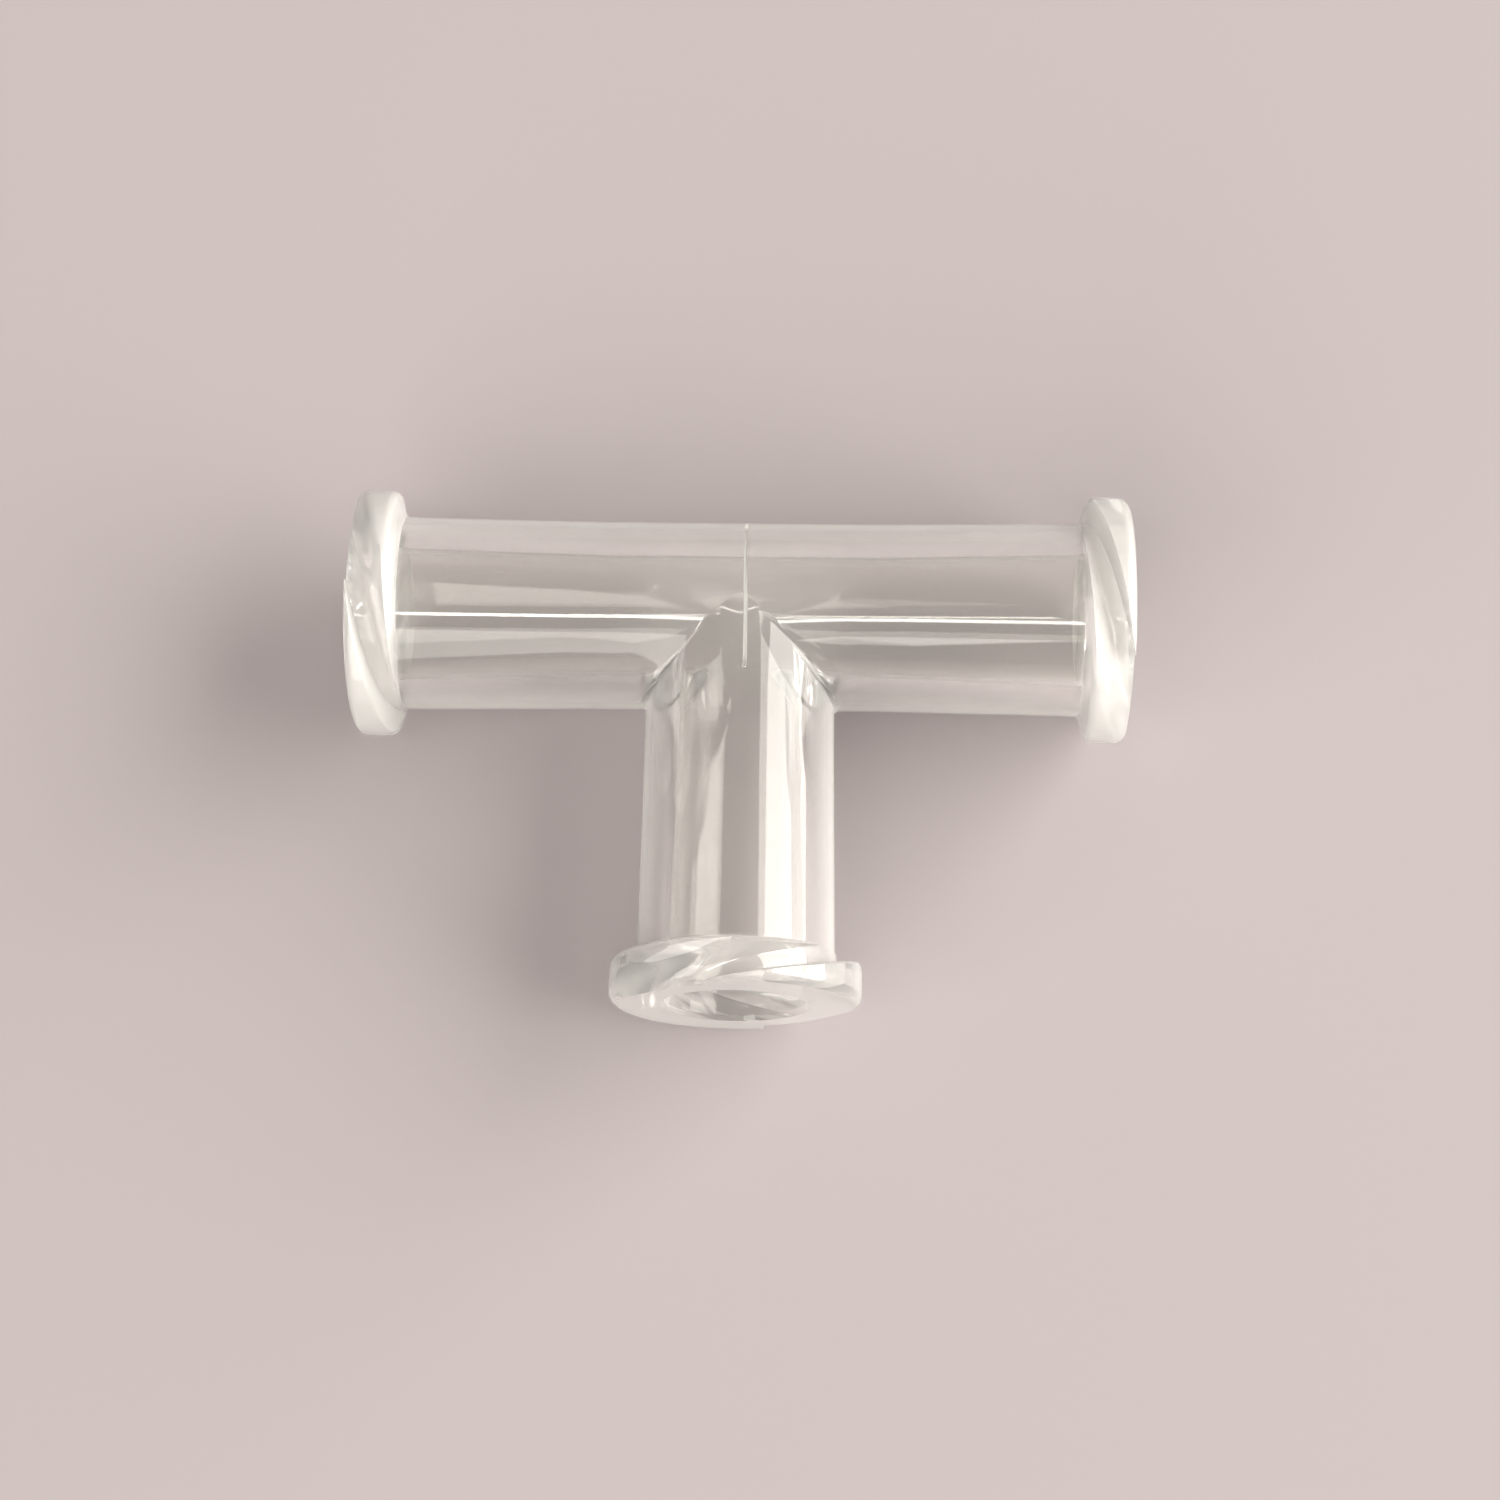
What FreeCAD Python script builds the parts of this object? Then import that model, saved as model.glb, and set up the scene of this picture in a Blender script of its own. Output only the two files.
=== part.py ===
import FreeCAD, Part
import os

from FreeCAD import Vector

# Three-way female luer tee, moulded in one piece.
# Millimetres, +Z up. The run lies along X and the leg points to -Y.
# The fitting rests on its three flange rims.

# reach of the arms, from the crossing of the axes to each mouth
run_reach = 12.2
leg_reach = 12.6

# outside of the tubes: straight near the crossing, then with a slight draft
run_radius = 3.0
leg_radius = 2.96
tube_end_radius = 3.06
straight_length = 4.5
crotch_radius = 0.3

# locking flange at each mouth
flange_radius = 3.9
flange_crest = 1.3
flange_base = 1.55
front_edge_radius = 0.36
rear_edge_radius = 0.3

# socket: a six per cent taper, then a straight passage through the middle
socket_radius = 2.15
socket_depth = 8.0
socket_taper = 0.06
lead_in = 0.15

# the leg's core pin is a little thinner than the run's where it passes the socket
leg_passage_step = 0.03

# witness ring left in the run where its two core pins met
witness_width = 0.06
witness_height = 0.03

# two-start locking groove across each flange
thread_lead = 5.0
thread_starts = 2
groove_floor_radius = 3.12
groove_knee_radius = 3.5
groove_width = 1.01
groove_knee_run = 0.12
groove_front_run = 0.5
groove_rear_run = 0.03
groove_offset = 1.2

# turn of the groove on each port, in degrees, clockwise from the top seen at the mouth
left_turn = 16.0
right_turn = -22.0
leg_turn = 0.0

# sizes that follow from those above
axis_height = flange_radius
axis_y = (leg_reach - flange_radius) / 2
taper_slope = socket_taper / 2
passage_radius = socket_radius - taper_slope * socket_depth
leg_passage_radius = passage_radius - leg_passage_step
overcut = 0.6

# angle from a groove to the plain part of the flange beside it
plain_side = 37.0

UP = Vector(0, 0, 1)
ORIGIN = Vector(0, 0, 0)


def turned(points):
    """A solid turned about Z from (radius, height) corners."""
    corners = [Vector(radius, 0, height) for radius, height in points]
    corners.append(corners[0])
    face = Part.Face(Part.makePolygon(corners))
    return face.revolve(ORIGIN, UP, 360)


def arm_outside(reach, radius):
    """Tube and flange of one arm, from the crossing of the axes to its mouth."""
    return turned([
        (0, 0),
        (radius, 0),
        (radius, straight_length),
        (tube_end_radius, reach - flange_base),
        (flange_radius, reach - flange_crest),
        (flange_radius, reach),
        (0, reach),
    ])


def rounded(arm, reach, turn):
    """The arm with both edges of its flange rounded over, its seam beside the grooves."""
    for height, size in ((reach, front_edge_radius), (reach - flange_crest, rear_edge_radius)):
        rims = []
        for edge in arm.Edges:
            box = edge.BoundBox
            flat = box.ZLength < 1e-4 and abs(box.ZMin - height) < 1e-4
            if flat and abs(box.XMax - flange_radius) < 1e-4:
                rims.append(edge)
        arm = arm.makeFillet(size, rims)
    arm.rotate(ORIGIN, UP, plain_side - turn)
    return arm


def socket(reach, start, passage):
    """The hollow of one arm: lead-in, taper and straight passage."""
    mouth_radius = socket_radius + lead_in
    return turned([
        (0, start),
        (passage, start),
        (passage, reach - socket_depth),
        (passage_radius, reach - socket_depth),
        (socket_radius - taper_slope * lead_in, reach - lead_in),
        (mouth_radius, reach),
        (mouth_radius + overcut, reach + overcut),
        (0, reach + overcut),
    ])


def groove(reach, turn):
    """One start of the locking groove, cut from the mouth to behind the flange."""
    low = reach - flange_base - groove_width - overcut
    high = reach + overcut
    steep = flange_radius - groove_knee_radius
    depth = flange_radius - groove_floor_radius
    top_radius = flange_radius + overcut
    rear_foot = groove_width - groove_rear_run
    corners = [
        Vector(groove_knee_radius, 0, groove_knee_run),
        Vector(groove_floor_radius, 0, groove_front_run),
        Vector(groove_floor_radius, 0, rear_foot),
        Vector(top_radius, 0, groove_width + groove_rear_run * overcut / depth),
        Vector(top_radius, 0, -groove_knee_run * overcut / steep),
    ]
    corners.append(corners[0])
    profile = Part.makePolygon(corners)
    helix = Part.Wire(Part.makeHelix(thread_lead, high - low, flange_radius))
    cutter = helix.makePipeShell([profile], True, True)
    cutter.translate(Vector(0, 0, low))
    climb = (reach - groove_offset - low) / thread_lead * 360
    cutter.rotate(ORIGIN, UP, -climb - turn)
    return cutter


def hollows(reach, start, passage, turn):
    """Everything that is cut from one arm."""
    cutters = [socket(reach, start, passage)]
    for index in range(thread_starts):
        cutters.append(groove(reach, turn + index * 360 / thread_starts))
    return cutters


def placed(shape, heading):
    """A local arm laid level: its X edge on top, its mouth toward the heading."""
    moved = shape.copy()
    moved.rotate(ORIGIN, Vector(0, 1, 0), -90)
    moved.rotate(ORIGIN, UP, heading)
    moved.translate(Vector(0, axis_y, axis_height))
    return moved


# heading of each arm, turned from -X about Z
LEFT = 0
LEG = 90
RIGHT = 180

# outside of the run, with a flange at each end
run_arm = arm_outside(run_reach, run_radius)
left_arm = placed(rounded(run_arm, run_reach, left_turn), LEFT)
right_arm = placed(rounded(run_arm, run_reach, right_turn), RIGHT)
run = left_arm.fuse(right_arm).removeSplitter()

# the leg joins the run, and the corner between them is rounded
leg_arm = arm_outside(leg_reach, leg_radius)
leg = placed(rounded(leg_arm, leg_reach, leg_turn), LEG)
body = run.fuse(leg).removeSplitter().Solids[0]
corner = []
for edge in body.Edges:
    box = edge.BoundBox
    inside = abs(box.XMin) < run_radius and abs(box.XMax) < run_radius
    if inside and box.YLength > run_radius / 2 and box.YMax < axis_y + run_radius / 2:
        corner.append(edge)
body = body.makeFillet(crotch_radius, corner)

# the two core pins of the run met in the middle and left a fine raised ring
half_ring = witness_width / 2
ring_opening = Part.makeCylinder(
    passage_radius - witness_height, witness_width, Vector(0, 0, -half_ring), UP
)
body = body.cut(placed(ring_opening, LEFT))

# sockets, passages and locking grooves
for reach, start, passage, turn, heading in (
    (run_reach, half_ring, passage_radius, left_turn, LEFT),
    (run_reach, half_ring, passage_radius, right_turn, RIGHT),
    (leg_reach, 0, leg_passage_radius, leg_turn, LEG),
):
    for cutter in hollows(reach, start, passage, turn):
        body = body.cut(placed(cutter, heading))

tee_body = body.Solids[0]

os.makedirs("parts", exist_ok=True)
tee_body.exportStep("parts/tee_body.step")
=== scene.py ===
import math

import bpy
from mathutils import Matrix, Vector


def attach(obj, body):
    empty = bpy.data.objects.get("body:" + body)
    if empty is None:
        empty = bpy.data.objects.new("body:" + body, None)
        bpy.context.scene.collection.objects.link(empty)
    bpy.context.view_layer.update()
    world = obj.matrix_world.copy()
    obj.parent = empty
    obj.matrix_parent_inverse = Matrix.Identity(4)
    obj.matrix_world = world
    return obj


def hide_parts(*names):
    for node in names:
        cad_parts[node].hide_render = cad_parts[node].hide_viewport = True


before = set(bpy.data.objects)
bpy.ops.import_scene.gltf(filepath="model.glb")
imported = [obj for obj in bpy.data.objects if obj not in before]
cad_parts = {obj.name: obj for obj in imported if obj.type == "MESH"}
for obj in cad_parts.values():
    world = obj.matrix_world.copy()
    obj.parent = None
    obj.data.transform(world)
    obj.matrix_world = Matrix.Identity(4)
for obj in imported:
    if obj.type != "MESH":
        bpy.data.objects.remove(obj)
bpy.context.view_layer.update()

# The fitting itself: a luer tee moulded in one shot of clear polycarbonate, with a straight
# run, a leg square to it, and at each mouth a tapered socket inside a locking flange.
# The skin of each arm is turned first and cut at the mitre where the three arms meet.
mm = 0.001
RUN_REACH = 12.2 * mm
LEG_REACH = 12.6 * mm
TUBE_RADIUS = 2.98 * mm
TUBE_END_RADIUS = 3.06 * mm
STRAIGHT = 4.5 * mm
FLANGE_RADIUS = 3.9 * mm
FLANGE_CREST = 1.3 * mm
FLANGE_BASE = 1.55 * mm
FRONT_EDGE = 0.36 * mm
REAR_EDGE = 0.3 * mm
SOCKET_RADIUS = 2.15 * mm
SOCKET_DEPTH = 8.0 * mm
TAPER = 0.03
LEAD_IN = 0.15 * mm
PASSAGE_RADIUS = SOCKET_RADIUS - TAPER * SOCKET_DEPTH

# rows of points that only keep the faces even: past the mitre, on the mouth and on the crest
PAST_MITRE = 3.3 * mm
BESIDE_MITRE = 3.9 * mm
MOUTH_ROWS = (2.7 * mm, 3.1 * mm)
CREST_ROW = 0.75 * mm
AROUND = 192

UP = Vector((0, 0, 1))
LEFT = Vector((-1, 0, 0))
RIGHT = Vector((1, 0, 0))
LEG = Vector((0, -1, 0))
CROSSING = Vector((0, (LEG_REACH - FLANGE_RADIUS) / 2, FLANGE_RADIUS))


def arc(centre, radius, start, end, steps):
    """Points (along, out) on an arc, angles in degrees."""
    points = []
    for i in range(steps + 1):
        angle = math.radians(start + (end - start) * i / steps)
        points.append((centre[0] + radius * math.cos(angle), centre[1] + radius * math.sin(angle)))
    return points


def arm_section(reach):
    """The section of one arm: from the crossing out through the socket, back over the flange."""
    crest = reach - FLANGE_CREST
    base = reach - FLANGE_BASE
    flank = Vector((crest - base, FLANGE_RADIUS - TUBE_END_RADIUS))
    lean = math.degrees(math.atan2(flank.x, flank.y))
    tangent = REAR_EDGE * math.tan(math.radians(90 - lean) / 2)
    points = [(0, PASSAGE_RADIUS), (PAST_MITRE, PASSAGE_RADIUS), (reach - SOCKET_DEPTH, PASSAGE_RADIUS)]
    for i in range(1, 8):
        along = reach - SOCKET_DEPTH + (SOCKET_DEPTH - LEAD_IN) * i / 7
        points.append((along, SOCKET_RADIUS - TAPER * (reach - along)))
    points.append((reach, SOCKET_RADIUS + LEAD_IN))
    for out in MOUTH_ROWS:
        points.append((reach, out))
    points += arc((reach - FRONT_EDGE, FLANGE_RADIUS - FRONT_EDGE), FRONT_EDGE, 0, 90, 8)
    points.append((reach - CREST_ROW, FLANGE_RADIUS))
    points += arc((crest + tangent, FLANGE_RADIUS - REAR_EDGE), REAR_EDGE, 90, 180 - lean, 7)
    points.append((base + flank.x * 0.4, TUBE_END_RADIUS + flank.y * 0.4))
    points.append((base, TUBE_END_RADIUS))
    for i in range(1, 7):
        along = base + (STRAIGHT - base) * i / 6
        points.append((along, TUBE_END_RADIUS + (TUBE_RADIUS - TUBE_END_RADIUS) * i / 6))
    points += [(BESIDE_MITRE, TUBE_RADIUS), (PAST_MITRE, TUBE_RADIUS), (0, TUBE_RADIUS)]
    return points


def deselect_all():
    bpy.ops.object.select_all(action="DESELECT")


def only(piece):
    """Makes one piece the active and only selected one."""
    deselect_all()
    piece.select_set(True)
    bpy.context.view_layer.objects.active = piece


def joined(pieces):
    """Joins pieces into the first of them."""
    deselect_all()
    for piece in pieces:
        piece.select_set(True)
    bpy.context.view_layer.objects.active = pieces[0]
    bpy.ops.object.join()
    return pieces[0]


def turned_skin(name, points, toward):
    """A section drawn point by point from one vertex, then spun about the arm's axis."""
    deselect_all()
    first = CROSSING + toward * points[0][0] + UP * points[0][1]
    bpy.ops.mesh.primitive_plane_add(size=mm, location=first)
    skin = bpy.context.object
    skin.name = name
    bpy.ops.object.transform_apply(location=True, rotation=True, scale=True)
    bpy.ops.object.mode_set(mode="EDIT")
    bpy.ops.mesh.select_mode(type="VERT")
    bpy.ops.mesh.select_all(action="SELECT")
    bpy.ops.mesh.merge(type="CENTER")
    at = points[0]
    for point in points[1:]:
        step = toward * (point[0] - at[0]) + UP * (point[1] - at[1])
        bpy.ops.mesh.extrude_vertices_move(TRANSFORM_OT_translate={"value": step})
        at = point
    bpy.ops.mesh.select_all(action="SELECT")
    bpy.ops.mesh.spin(steps=AROUND, angle=2 * math.pi, center=CROSSING, axis=toward)
    bpy.ops.mesh.select_all(action="SELECT")
    bpy.ops.mesh.remove_doubles(threshold=0.0005 * mm)
    bpy.ops.object.mode_set(mode="OBJECT")
    return skin


def mitre(skin, normal):
    """Cuts the skin through the crossing and drops the side that the normal points away from."""
    only(skin)
    bpy.ops.object.mode_set(mode="EDIT")
    bpy.ops.mesh.select_all(action="SELECT")
    bpy.ops.mesh.bisect(plane_co=CROSSING, plane_no=normal, clear_inner=True, threshold=0.0001 * mm)
    bpy.ops.object.mode_set(mode="OBJECT")


arms = []
for name, reach, toward, cuts in (
    ("left_arm", RUN_REACH, LEFT, [Vector((-1, 1, 0))]),
    ("right_arm", RUN_REACH, RIGHT, [Vector((1, 1, 0))]),
    ("leg_arm", LEG_REACH, LEG, [Vector((-1, -1, 0)), Vector((1, -1, 0))]),
):
    arm = turned_skin(name, arm_section(reach), toward)
    for normal in cuts:
        mitre(arm, normal)
    arms.append(arm)

tee = joined(arms)
tee.name = "tee"
bpy.ops.object.mode_set(mode="EDIT")
bpy.ops.mesh.select_all(action="SELECT")
bpy.ops.mesh.remove_doubles(threshold=0.002 * mm)
bpy.ops.mesh.select_all(action="SELECT")
bpy.ops.mesh.normals_make_consistent(inside=False)
bpy.ops.object.mode_set(mode="OBJECT")

# The corner where the leg runs into the run is rounded in the mould: widest at the sides,
# and fading out on top and underneath, where the three tubes flow into each other.
CORNER_RADIUS = 0.3 * mm
FLAT_TOP = 0.12 * mm
weights = tee.data.attributes.new("bevel_weight_edge", "FLOAT", "EDGE")
for edge in tee.data.edges:
    ends = [tee.data.vertices[i].co - CROSSING for i in edge.vertices]
    on_mitre = all(abs(-end.y - abs(end.x)) < 0.001 * mm for end in ends)
    outer = all(abs(math.hypot(end.y, end.z) - TUBE_RADIUS) < 0.01 * mm for end in ends)
    middle = (ends[0] + ends[1]) / 2
    if on_mitre and outer and abs(middle.x) > FLAT_TOP:
        lift = (middle.z / TUBE_RADIUS) ** 2
        weights.data[edge.index].value = math.tan(math.acos(min(1, lift)) / 2)
only(tee)
corner = tee.modifiers.new("corner", "BEVEL")
corner.limit_method = "WEIGHT"
corner.offset_type = "OFFSET"
corner.width = CORNER_RADIUS
corner.segments = 6
corner.use_clamp_overlap = False
bpy.ops.object.modifier_apply(modifier="corner")

# Two right-hand locking grooves cross each flange, so that a collar with two lugs screws
# on. The wall to the mouth's side stands straight, and the other one drops steeply from
# the crest to a knee and runs out in a wide hollow. Each port has its own turn.
LEAD = 5.0 * mm
STARTS = 2
GROOVE_FLOOR = 3.12 * mm
GROOVE_KNEE = 3.5 * mm
GROOVE_WIDTH = 1.01 * mm
KNEE_RUN = 0.12 * mm
FRONT_RUN = 0.5 * mm
REAR_RUN = 0.03 * mm
GROOVE_OFFSET = 1.2 * mm
OVERCUT = 0.6 * mm
LEFT_TURN = 16.0
RIGHT_TURN = -22.0
LEG_TURN = 0.0

# corners of the groove's section as (radius, along), crests and knee rounded with points given one by one
groove_section = [
    (FLANGE_RADIUS + OVERCUT, -1.0 * mm),
    (FLANGE_RADIUS + 0.02 * mm, -0.36 * mm),
    (FLANGE_RADIUS - 0.035 * mm, -0.2 * mm),
    (FLANGE_RADIUS - 0.105 * mm, -0.07 * mm),
    (FLANGE_RADIUS - 0.21 * mm, 0.04 * mm),
    (GROOVE_KNEE + 0.05 * mm, KNEE_RUN + 0.01 * mm),
    (GROOVE_KNEE - 0.08 * mm, KNEE_RUN + 0.1 * mm),
    (GROOVE_FLOOR + 0.16 * mm, FRONT_RUN - 0.18 * mm),
    (GROOVE_FLOOR + 0.05 * mm, FRONT_RUN - 0.06 * mm),
    (GROOVE_FLOOR, FRONT_RUN + 0.08 * mm),
    (GROOVE_FLOOR, GROOVE_WIDTH - REAR_RUN),
    (FLANGE_RADIUS - 0.12 * mm, GROOVE_WIDTH),
    (FLANGE_RADIUS - 0.05 * mm, GROOVE_WIDTH + 0.03 * mm),
    (FLANGE_RADIUS + 0.02 * mm, GROOVE_WIDTH + 0.1 * mm),
    (FLANGE_RADIUS + OVERCUT, GROOVE_WIDTH + 0.6 * mm),
]


def groove_cutter(reach, toward, turn):
    """One groove's section screwed along its arm, from behind the flange to past the mouth."""
    low = reach - FLANGE_BASE - GROOVE_WIDTH - OVERCUT
    high = reach + OVERCUT
    deselect_all()
    bpy.ops.mesh.primitive_circle_add(vertices=len(groove_section), radius=mm, location=(0, 0, 0))
    cutter = bpy.context.object
    for vertex, (out, along) in zip(cutter.data.vertices, groove_section):
        vertex.co = (out, 0, low + along)
    screw = cutter.modifiers.new("screw", "SCREW")
    screw.axis = "Z"
    screw.angle = 2 * math.pi * (high - low) / LEAD
    screw.screw_offset = high - low
    screw.steps = 150
    screw.render_steps = 150
    bpy.ops.object.modifier_apply(modifier="screw")
    bpy.ops.object.mode_set(mode="EDIT")
    bpy.ops.mesh.select_all(action="SELECT")
    bpy.ops.mesh.fill_holes(sides=len(groove_section))
    bpy.ops.mesh.normals_make_consistent(inside=False)
    bpy.ops.object.mode_set(mode="OBJECT")
    climb = (reach - GROOVE_OFFSET - low) / LEAD * 360
    spin = Matrix.Rotation(math.radians(-climb - turn), 4, "Z")
    lay = Matrix((UP, toward.cross(UP), toward)).transposed().to_4x4()
    cutter.matrix_world = Matrix.Translation(CROSSING) @ lay @ spin
    bpy.ops.object.transform_apply(location=True, rotation=True, scale=True)
    return cutter


def combined(piece, other, operation):
    """Adds the other mesh to the piece, or cuts it away, and deletes it."""
    only(piece)
    step = piece.modifiers.new(other.name, "BOOLEAN")
    step.operation = operation
    step.solver = "EXACT"
    step.object = other
    bpy.ops.object.modifier_apply(modifier=step.name)
    bpy.data.objects.remove(other, do_unlink=True)


cutters = []
for reach, toward, turn in (
    (RUN_REACH, LEFT, LEFT_TURN),
    (RUN_REACH, RIGHT, RIGHT_TURN),
    (LEG_REACH, LEG, LEG_TURN),
):
    for start in range(STARTS):
        cutters.append(groove_cutter(reach, toward, turn + start * 360 / STARTS))
combined(tee, joined(cutters), "DIFFERENCE")

# The two core pins of the run met in the middle and left a fine raised line in the bore.
# It goes over the top of the bore, down its back to half its height, and on over the roof of
# the leg's bore.
LINE_RADIUS = 0.06 * mm
LINE_X = 0.15 * mm
ROOF_LINE = 2.4 * mm
path = bpy.data.curves.new("witness_line", "CURVE")
path.dimensions = "3D"
path.bevel_depth = LINE_RADIUS
path.bevel_resolution = 3
path.use_fill_caps = True
route = [(LINE_X, -ROOF_LINE, PASSAGE_RADIUS)]
for i in range(49):
    angle = math.radians(90 - 90 * i / 48)
    route.append((LINE_X, PASSAGE_RADIUS * math.cos(angle), PASSAGE_RADIUS * math.sin(angle)))
stretch = path.splines.new("POLY")
stretch.points.add(len(route) - 1)
for point, spot in zip(stretch.points, route):
    point.co = (*(CROSSING + Vector(spot)), 1)
witness_line = bpy.data.objects.new("witness_line", path)
bpy.context.collection.objects.link(witness_line)
only(witness_line)
bpy.ops.object.convert(target="MESH")
bpy.ops.object.mode_set(mode="EDIT")
bpy.ops.mesh.select_all(action="SELECT")
bpy.ops.mesh.remove_doubles(threshold=0.0001 * mm)
bpy.ops.mesh.normals_make_consistent(inside=False)
bpy.ops.object.mode_set(mode="OBJECT")
combined(tee, witness_line, "UNION")

# The moulded skin is smooth but for its true edges: the rims of the grooves, the mouths
# and the step between socket and passage stay crisp, and all else is shaded round.
only(tee)
bpy.ops.object.mode_set(mode="EDIT")
bpy.ops.mesh.select_all(action="SELECT")
bpy.ops.mesh.remove_doubles(threshold=0.001 * mm)
bpy.ops.object.mode_set(mode="OBJECT")
bpy.ops.object.shade_smooth_by_angle(angle=math.radians(22))


def from_hex(code):
    """An sRGB hex colour as linear red, green, blue and full alpha."""
    channels = []
    for i in (1, 3, 5):
        value = int(code[i:i + 2], 16) / 255
        channels.append(value / 12.92 if value <= 0.04045 else ((value + 0.055) / 1.055) ** 2.4)
    return (*channels, 1)


def add_node(tree, kind, settings=None, links=None):
    """Adds a node, sets its properties and sockets, and links other nodes' outputs to it."""
    node = tree.nodes.new(kind)
    for key, value in (settings or {}).items():
        if isinstance(key, int) or key in node.inputs:
            node.inputs[key].default_value = value
        else:
            setattr(node, key, value)
    for key, output in (links or {}).items():
        tree.links.new(output, node.inputs[key])
    return node


# Clear polycarbonate from a polished mould: a hard gloss, a high index that bends what is
# seen through it, and a near-white tint. It turns milky where the eye looks along a wall
# or into the thick flanges, so the clearness is worked out from the place and the angle.
# Along the upper half of the witness line it is made milky white as a painted highlight.
CLEARNESS = 0.95
FLANGE_MILK = 0.4
LEG_FLANGE_SHARE = 0.48
EDGE_MILK = 0.42
MIDDLE_MILK = 0.05
# how white the witness line's painted highlight is
LINE_PAINTED_HIGHLIGHT = 0.7
clear = bpy.data.materials.new("clear_moulded_polycarbonate")
clear.use_nodes = True
tree = clear.node_tree
tree.nodes.clear()
where = add_node(tree, "ShaderNodeTexCoord")
from_crossing = add_node(
    tree, "ShaderNodeVectorMath", {"operation": "SUBTRACT", 1: CROSSING}, {0: where.outputs["Object"]}
)
apart = add_node(tree, "ShaderNodeSeparateXYZ", None, {"Vector": from_crossing.outputs["Vector"]})

# how far a point is from the nearer of the two axes
across_run = add_node(
    tree, "ShaderNodeVectorMath", {"operation": "MULTIPLY", 1: (0, 1, 1)},
    {0: from_crossing.outputs["Vector"]},
)
across_leg = add_node(
    tree, "ShaderNodeVectorMath", {"operation": "MULTIPLY", 1: (1, 0, 1)},
    {0: from_crossing.outputs["Vector"]},
)
off_run = add_node(tree, "ShaderNodeVectorMath", {"operation": "LENGTH"}, {0: across_run.outputs["Vector"]})
off_leg = add_node(tree, "ShaderNodeVectorMath", {"operation": "LENGTH"}, {0: across_leg.outputs["Vector"]})
off_axis = add_node(
    tree, "ShaderNodeMath", {"operation": "MINIMUM"},
    {0: off_run.outputs["Value"], 1: off_leg.outputs["Value"]},
)

# milk in the thick outer part of the flanges
skin_side = add_node(
    tree, "ShaderNodeMapRange",
    {
        "interpolation_type": "SMOOTHSTEP",
        "From Min": 2.3 * mm,
        "From Max": 3.0 * mm,
        "To Max": FLANGE_MILK,
    },
    {"Value": off_axis.outputs["Value"]},
)
along_run = add_node(tree, "ShaderNodeMath", {"operation": "ABSOLUTE"}, {0: apart.outputs["X"]})
run_end = add_node(
    tree, "ShaderNodeMapRange",
    {
        "interpolation_type": "SMOOTHSTEP",
        "From Min": RUN_REACH - 1.7 * mm,
        "From Max": RUN_REACH - 1.4 * mm,
    },
    {"Value": along_run.outputs["Value"]},
)
leg_end = add_node(
    tree, "ShaderNodeMapRange",
    {
        "interpolation_type": "SMOOTHSTEP",
        "From Min": 1.7 * mm - LEG_REACH,
        "From Max": 1.4 * mm - LEG_REACH,
        "To Max": LEG_FLANGE_SHARE,
    },
    {"Value": apart.outputs["Y"]},
)
at_end = add_node(
    tree, "ShaderNodeMath", {"operation": "MAXIMUM"},
    {0: run_end.outputs["Result"], 1: leg_end.outputs["Result"]},
)
thick = add_node(
    tree, "ShaderNodeMath", {"operation": "MULTIPLY"},
    {0: skin_side.outputs["Result"], 1: at_end.outputs["Value"]},
)

# milk where a wall is seen edge-on, and a trace of it where the three arms meet
edge_on = add_node(tree, "ShaderNodeLayerWeight", {"Blend": 0.5})
along_wall = add_node(
    tree, "ShaderNodeMapRange",
    {
        "interpolation_type": "SMOOTHSTEP",
        "From Min": 0.25,
        "From Max": 0.9,
        "To Max": EDGE_MILK,
    },
    {"Value": edge_on.outputs["Facing"]},
)
from_middle = add_node(
    tree, "ShaderNodeVectorMath", {"operation": "LENGTH"}, {0: from_crossing.outputs["Vector"]}
)
middle = add_node(
    tree, "ShaderNodeMapRange",
    {
        "interpolation_type": "SMOOTHSTEP",
        "From Min": 5.0 * mm,
        "From Max": 2.5 * mm,
        "To Max": MIDDLE_MILK,
    },
    {"Value": from_middle.outputs["Value"]},
)
walls = add_node(
    tree, "ShaderNodeMath", {"operation": "MAXIMUM"},
    {0: thick.outputs["Value"], 1: middle.outputs["Result"]},
)
haze = add_node(
    tree, "ShaderNodeMath", {"operation": "MAXIMUM"},
    {0: walls.outputs["Value"], 1: along_wall.outputs["Result"]},
)

# a painted highlight: the witness line is made milky white along its upper half, where it
# would catch the light, and the painted highlight fades at its front end
off_line = add_node(tree, "ShaderNodeMath", {"operation": "SUBTRACT", 1: LINE_X}, {0: apart.outputs["X"]})
from_line = add_node(tree, "ShaderNodeMath", {"operation": "ABSOLUTE"}, {0: off_line.outputs["Value"]})
near_line = add_node(
    tree, "ShaderNodeMapRange", {"From Min": 0.065 * mm, "From Max": 0.05 * mm},
    {"Value": from_line.outputs["Value"]},
)
in_bore = add_node(
    tree, "ShaderNodeMapRange",
    {
        "From Min": PASSAGE_RADIUS + 0.02 * mm,
        "From Max": PASSAGE_RADIUS - 0.01 * mm,
        "To Max": LINE_PAINTED_HIGHLIGHT,
    },
    {"Value": off_axis.outputs["Value"]},
)
on_line = add_node(
    tree, "ShaderNodeMath", {"operation": "MULTIPLY"},
    {0: near_line.outputs["Result"], 1: in_bore.outputs["Result"]},
)
front_end = add_node(
    tree, "ShaderNodeMapRange",
    {"From Min": -ROOF_LINE - 0.1 * mm, "From Max": 0.4 * mm - ROOF_LINE},
    {"Value": apart.outputs["Y"]},
)
lit_upper_half = add_node(
    tree, "ShaderNodeMapRange", {"From Min": -0.1 * mm, "From Max": 0.1 * mm},
    {"Value": apart.outputs["Z"]},
)
highlight_shown = add_node(
    tree, "ShaderNodeMath", {"operation": "MULTIPLY"},
    {0: front_end.outputs["Result"], 1: lit_upper_half.outputs["Result"]},
)
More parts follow.
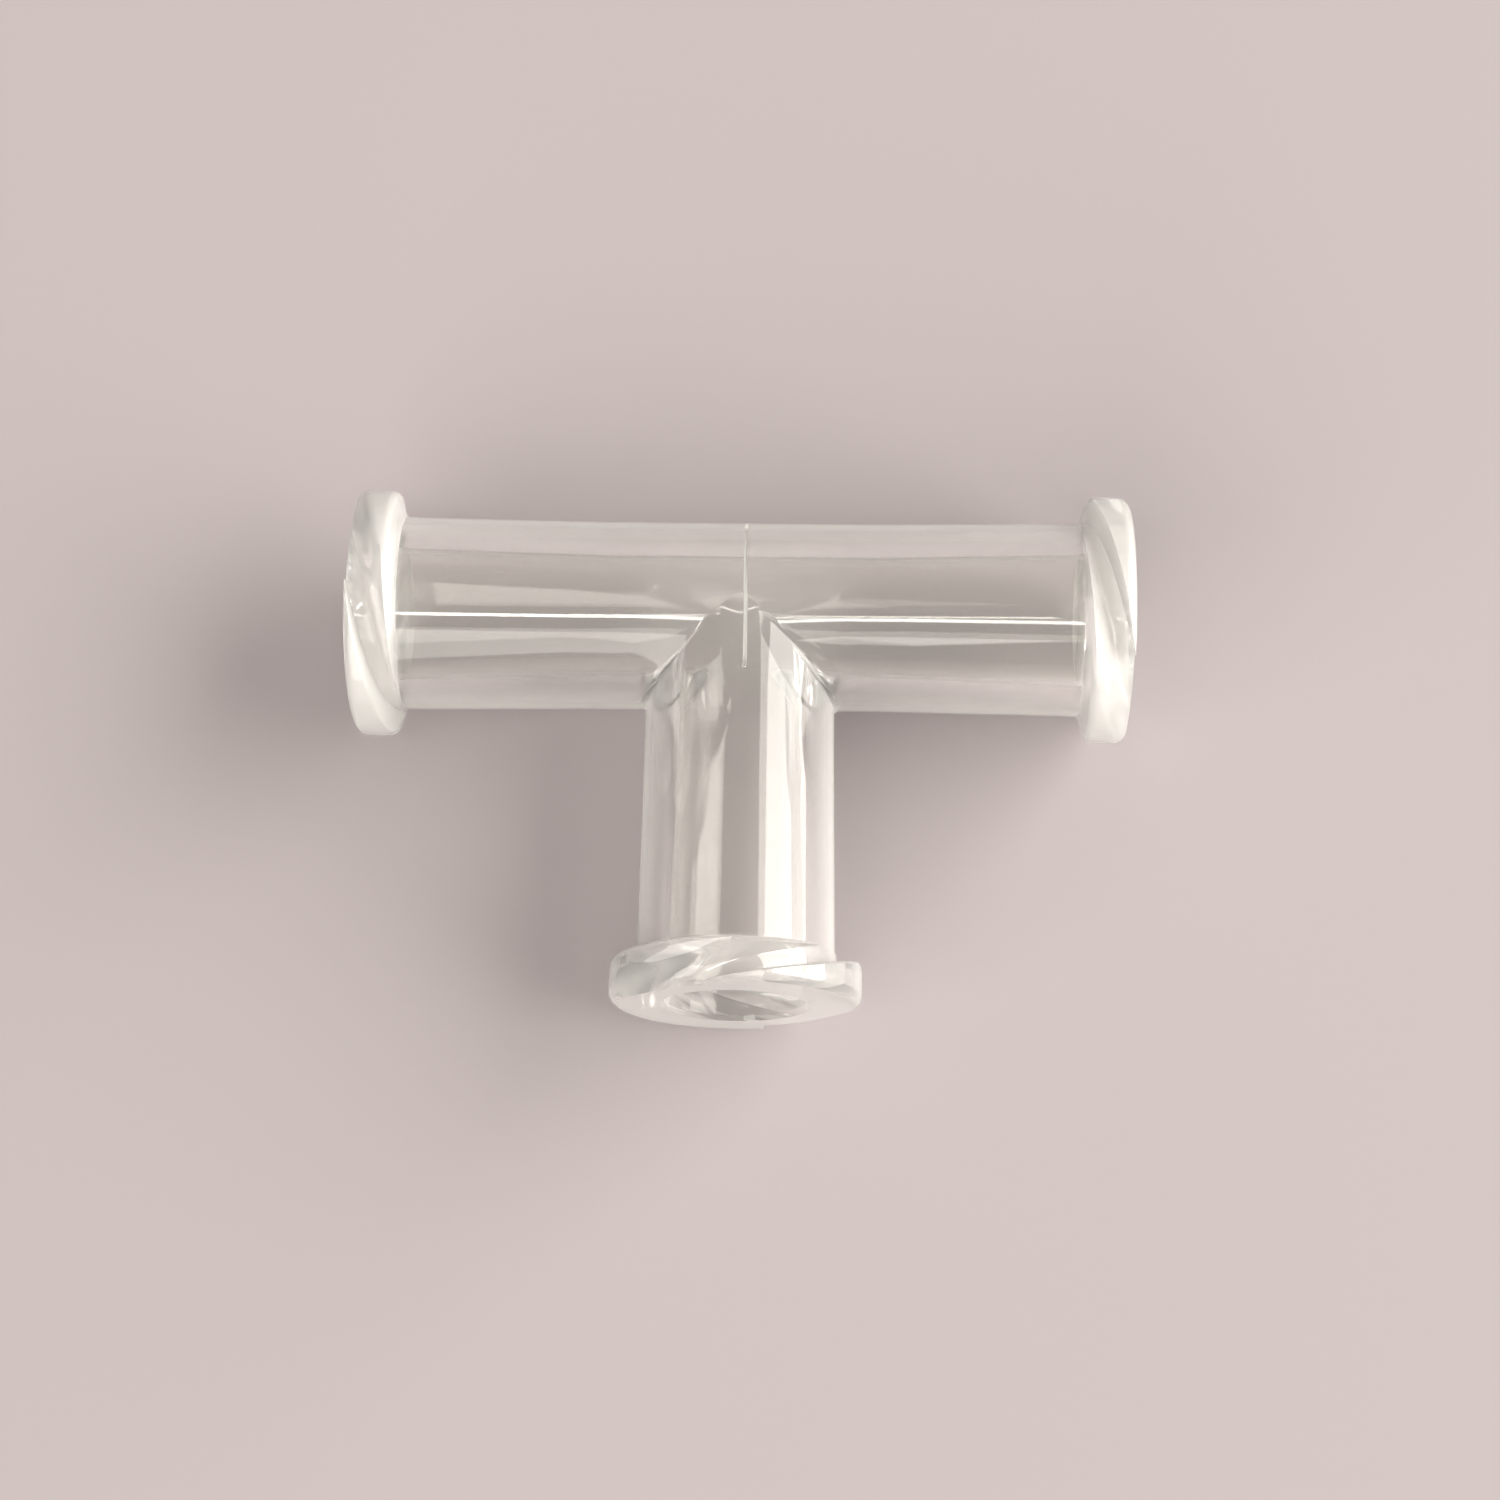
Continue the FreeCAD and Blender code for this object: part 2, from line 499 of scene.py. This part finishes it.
painted_line_highlight = add_node(
    tree, "ShaderNodeMath", {"operation": "MULTIPLY"},
    {0: on_line.outputs["Value"], 1: highlight_shown.outputs["Value"]},
)
# the real milkiness together with the witness line's painted highlight
milk_and_painted_highlight = add_node(
    tree, "ShaderNodeMath", {"operation": "MAXIMUM"},
    {0: haze.outputs["Value"], 1: painted_line_highlight.outputs["Value"]},
)
clearness = add_node(
    tree, "ShaderNodeMath", {"operation": "SUBTRACT", 0: CLEARNESS}, {1: milk_and_painted_highlight.outputs["Value"]}
)

# the melt's flow leaves waves of about a millimetre, too faint to see but in a reflection
flow = add_node(
    tree, "ShaderNodeTexNoise", {"Scale": 0.9 / mm, "Detail": 3.0, "Roughness": 0.5},
    {"Vector": where.outputs["Object"]},
)
waves = add_node(
    tree, "ShaderNodeBump", {"Strength": 0.02, "Distance": 0.02 * mm}, {"Height": flow.outputs["Fac"]}
)
shader = add_node(
    tree, "ShaderNodeBsdfPrincipled",
    {"Base Color": from_hex("#fdfcfa"), "Roughness": 0.04, "IOR": 1.585},
    {"Normal": waves.outputs["Normal"], "Transmission Weight": clearness.outputs["Value"]},
)
add_node(tree, "ShaderNodeOutputMaterial", None, {"Surface": shader.outputs["BSDF"]})
tee.data.materials.clear()
tee.data.materials.append(clear)
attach(tee, "root")
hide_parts("tee_body")

# The floor is a sheet of pale matt paper, a little pink, that shows through the clear
# walls and takes the soft shadow.
bpy.ops.mesh.primitive_plane_add(size=2, location=(0, 0, 0))
floor = bpy.context.object
floor.name = "floor"
paper = bpy.data.materials.new("pale_paper")
paper.use_nodes = True
sheet = paper.node_tree.nodes["Principled BSDF"]
sheet.inputs["Base Color"].default_value = from_hex("#a9a0a2")
sheet.inputs["Roughness"].default_value = 0.8
floor.data.materials.append(paper)

# The camera looks steeply down from the leg's side. Its angles, distance and focal length
# (in pixels of the photograph) were solved from the outline, and so was the pixel where
# the axes cross.
PHOTO_SIDE = 1500
PHOTO_MIDDLE = PHOTO_SIDE / 2
SENSOR = 36
ELEVATION = math.radians(73.6)
AZIMUTH = math.radians(-3.61)
ROLL = math.radians(-2.82)
DISTANCE = 102.7 * mm
FOCAL = 3229.0
CROSSING_ACROSS = 741.6
CROSSING_DOWN = 616.96
level = math.cos(ELEVATION)
look = Vector((math.sin(AZIMUTH) * level, math.cos(AZIMUTH) * level, -math.sin(ELEVATION)))
across = look.cross(UP).normalized()
above = across.cross(look)
image_right = across * math.cos(ROLL) + above * math.sin(ROLL)
image_up = above * math.cos(ROLL) - across * math.sin(ROLL)
metres_per_pixel = DISTANCE / FOCAL
eye = CROSSING - look * DISTANCE
eye -= image_right * (CROSSING_ACROSS - PHOTO_MIDDLE) * metres_per_pixel
eye += image_up * (CROSSING_DOWN - PHOTO_MIDDLE) * metres_per_pixel
camera_data = bpy.data.cameras.new("camera")
camera_data.sensor_width = SENSOR
camera_data.lens = FOCAL * SENSOR / PHOTO_SIDE
camera_data.clip_start = 0.005
camera_data.clip_end = 20
camera = bpy.data.objects.new("camera", camera_data)
turned = Matrix((image_right, image_up, -look)).transposed().to_4x4()
camera.matrix_world = Matrix.Translation(eye) @ turned
bpy.context.collection.objects.link(camera)
bpy.context.scene.camera = camera


def soft_box(name, width, height, power, spot, aim):
    """A soft box: an area lamp of near-white light, turned to the point that it aims at."""
    data = bpy.data.lights.new(name, "AREA")
    data.shape = "RECTANGLE"
    data.size = width
    data.size_y = height
    data.energy = power
    data.color = from_hex("#fffcf5")[:3]
    box = bpy.data.objects.new(name, data)
    box.location = spot
    box.rotation_euler = (Vector(aim) - Vector(spot)).to_track_quat("-Z", "Y").to_euler()
    bpy.context.collection.objects.link(box)


# The light: a large box level with the part on the right, which draws the white bands down
# the leg, a second one over the left shoulder, and a thin tube overhead, which draws the
# fine line along the run. A dim warm room fills the rest.
PART_TOP = (0, 0, 0.004)
soft_box("side", 1.0, 0.88, 15.5, (0.6, 0.1, 0.45), (0, 0.1, 0.45))
soft_box("fill", 1.2, 1.0, 11.5, (-0.55, -0.75, 0.55), PART_TOP)
soft_box("tube", 0.5, 0.035, 0.7, (-0.08, -0.21, 0.65), PART_TOP)
room = bpy.data.worlds.new("room")
room.use_nodes = True
room_light = room.node_tree.nodes["Background"]
room_light.inputs["Color"].default_value = from_hex("#e6e1da")
room_light.inputs["Strength"].default_value = 0.37
bpy.context.scene.world = room
bpy.context.scene.view_settings.view_transform = "Standard"
